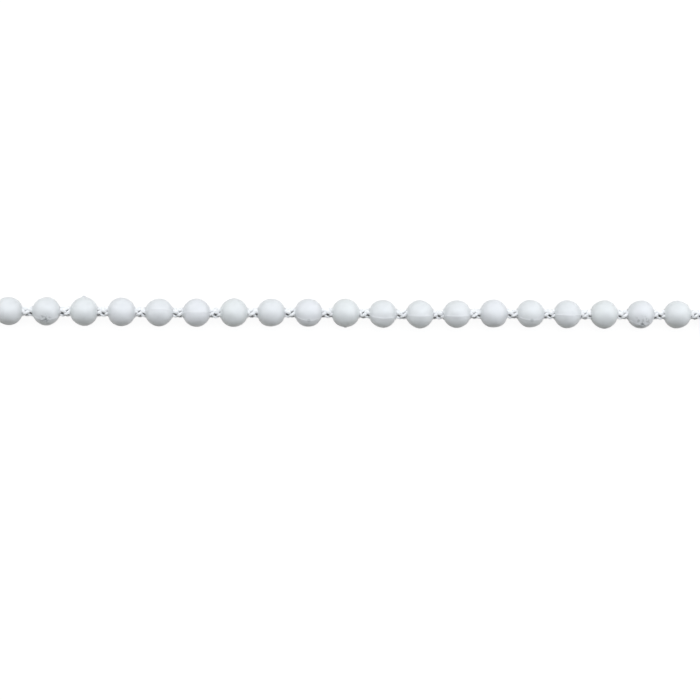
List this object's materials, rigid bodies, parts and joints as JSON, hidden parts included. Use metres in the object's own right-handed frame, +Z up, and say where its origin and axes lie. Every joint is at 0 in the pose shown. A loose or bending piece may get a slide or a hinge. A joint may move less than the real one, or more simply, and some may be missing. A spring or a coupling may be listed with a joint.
{
  "type": "roller blind chain",
  "caption": "Straight length of roller blind control chain: white plastic balls at an even pitch, moulded on one braided cord, cut between balls at both ends.",
  "frame": {"origin": "on the surface that the chain lies on, under the middle of its length", "axes": "+X along the chain, +Y across it, +Z up from the surface that it lies on"},
  "size_m": [0.126, 0.0047, 0.0045],
  "materials": {
    "ball_plastic": "satin",
    "cord_polyester": "satin"
  },
  "bodies": {
    "root": {"bead_01": "ball_plastic", "bead_02": "ball_plastic", "bead_03": "ball_plastic", "bead_04": "ball_plastic", "bead_05": "ball_plastic", "bead_06": "ball_plastic", "bead_07": "ball_plastic", "bead_08": "ball_plastic", "bead_09": "ball_plastic", "bead_10": "ball_plastic", "bead_11": "ball_plastic", "bead_12": "ball_plastic", "bead_13": "ball_plastic", "bead_14": "ball_plastic", "bead_15": "ball_plastic", "bead_16": "ball_plastic", "bead_17": "ball_plastic", "bead_18": "ball_plastic", "bead_19": "ball_plastic", "bead_20": "ball_plastic", "bead_21": "ball_plastic", "braided_cord": "cord_polyester"}
  },
  "joints": []
}
